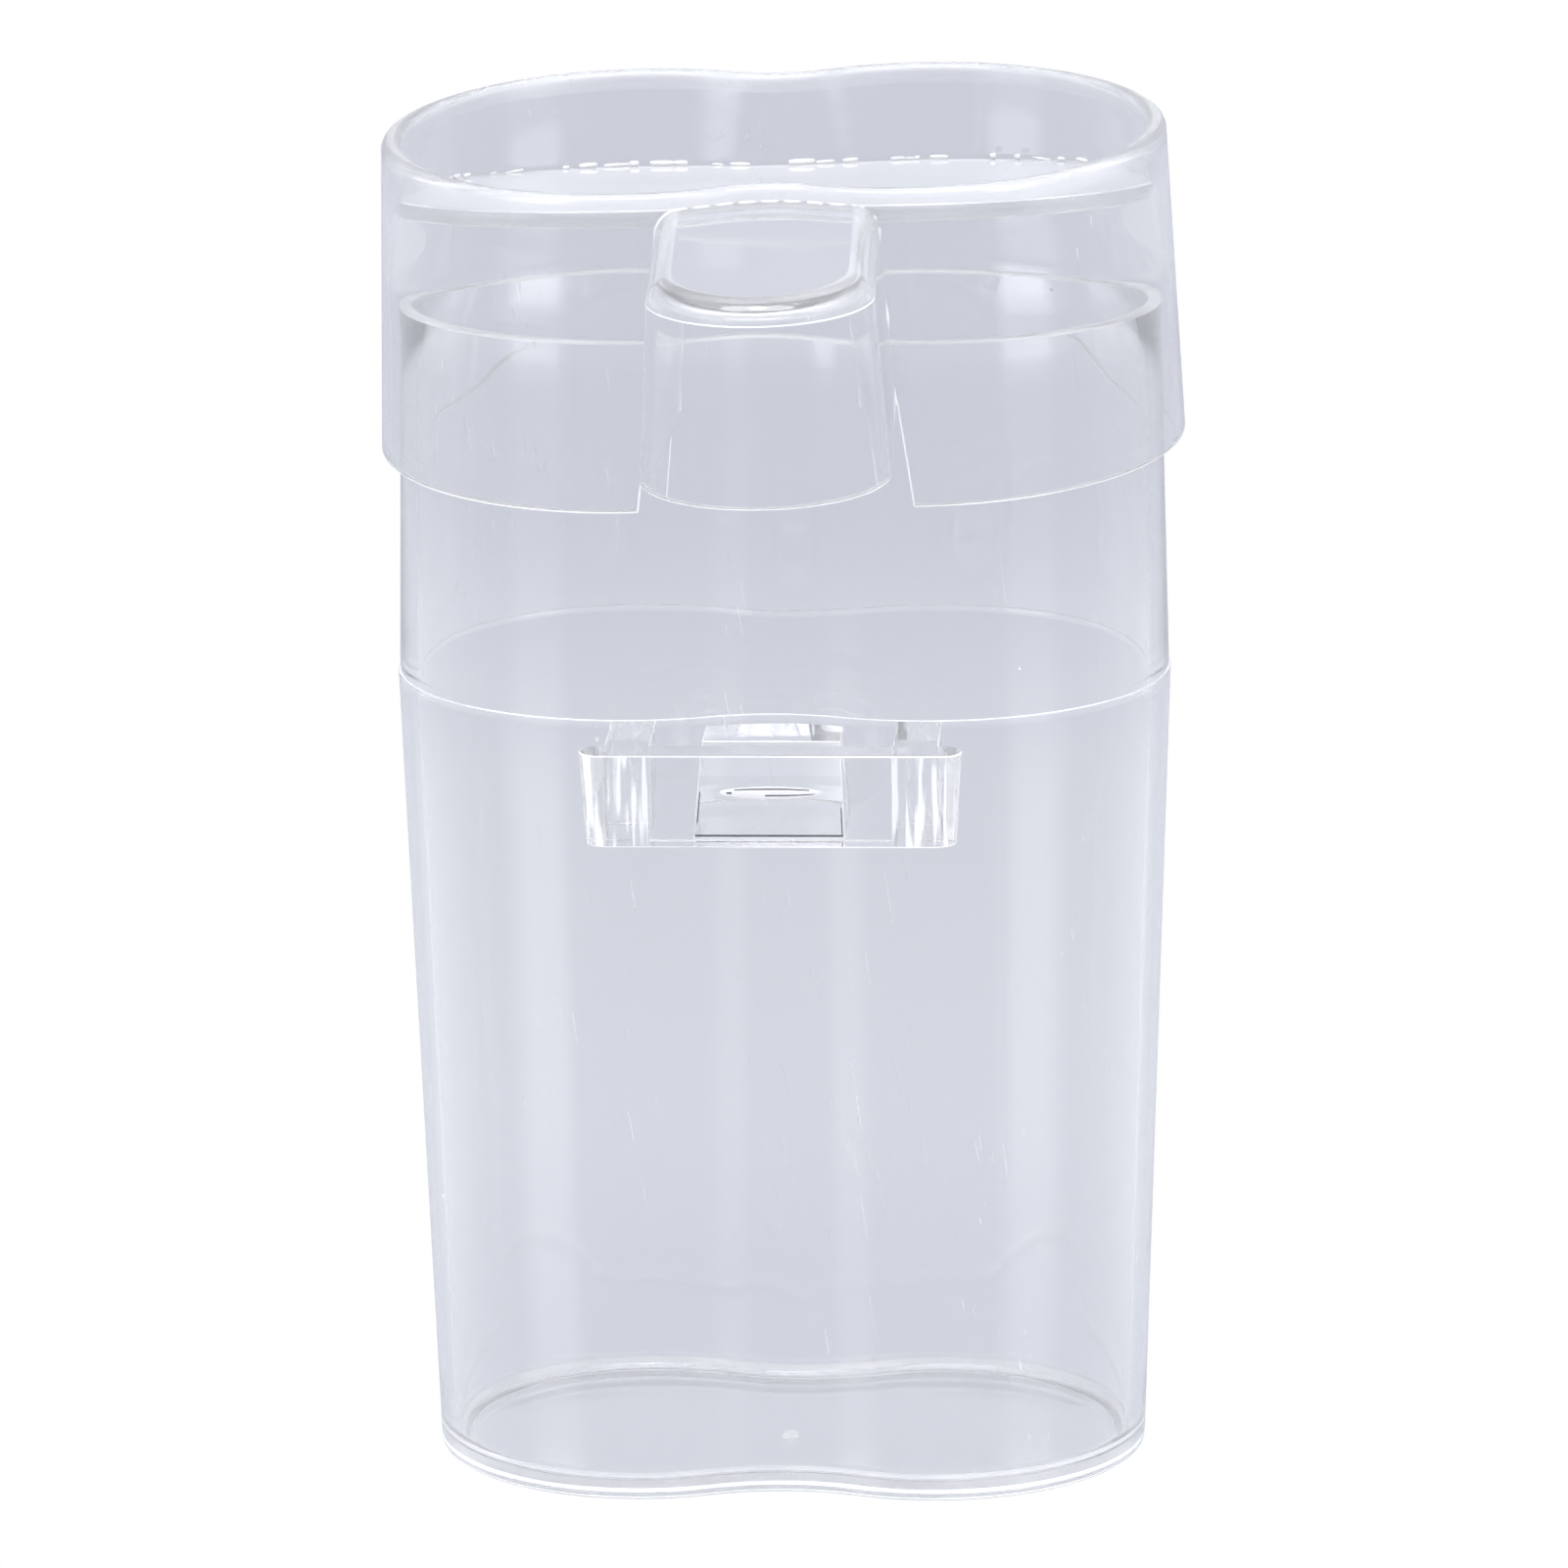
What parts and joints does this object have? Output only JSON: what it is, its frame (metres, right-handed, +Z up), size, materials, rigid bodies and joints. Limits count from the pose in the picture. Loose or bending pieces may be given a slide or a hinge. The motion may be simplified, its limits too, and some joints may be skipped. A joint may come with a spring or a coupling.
{
  "type": "clear lidded container",
  "caption": "Clear moulded container with a figure-of-eight plan, a front bracket, and a push-on cap with a spout hood.",
  "frame": {"origin": "middle of the vessel's flat base, on the surface it stands on", "axes": "+Z up the vessel's axis, X across the long side of the plan, the hood and the bracket face -Y"},
  "size_m": [0.0745, 0.0805, 0.1287],
  "materials": {
    "clear_body": "clear moulded plastic, faint lavender grey, fine handling scratches",
    "clear_bracket": "clear moulded plastic, polished faces with bright edges",
    "clear_cap": "clear moulded plastic, slightly hazy, fine scratches",
    "clear_plate": "clear moulded plastic with marks along its back edge"
  },
  "bodies": {
    "vessel": {"vessel": "clear_body", "bracket_plate": "clear_bracket", "bracket_post_left": "clear_bracket", "bracket_post_right": "clear_bracket", "wedge_catch": "clear_bracket"},
    "cap": {"cap_sleeve": "clear_cap", "cap_hood": "clear_cap", "cap_top_plate": "clear_plate"}
  },
  "joints": [
    {"name": "cap_slide", "type": "slide", "parent": "vessel", "child": "cap", "axis": [0, 0, 1], "range_m": [0, 0.03]}
  ]
}
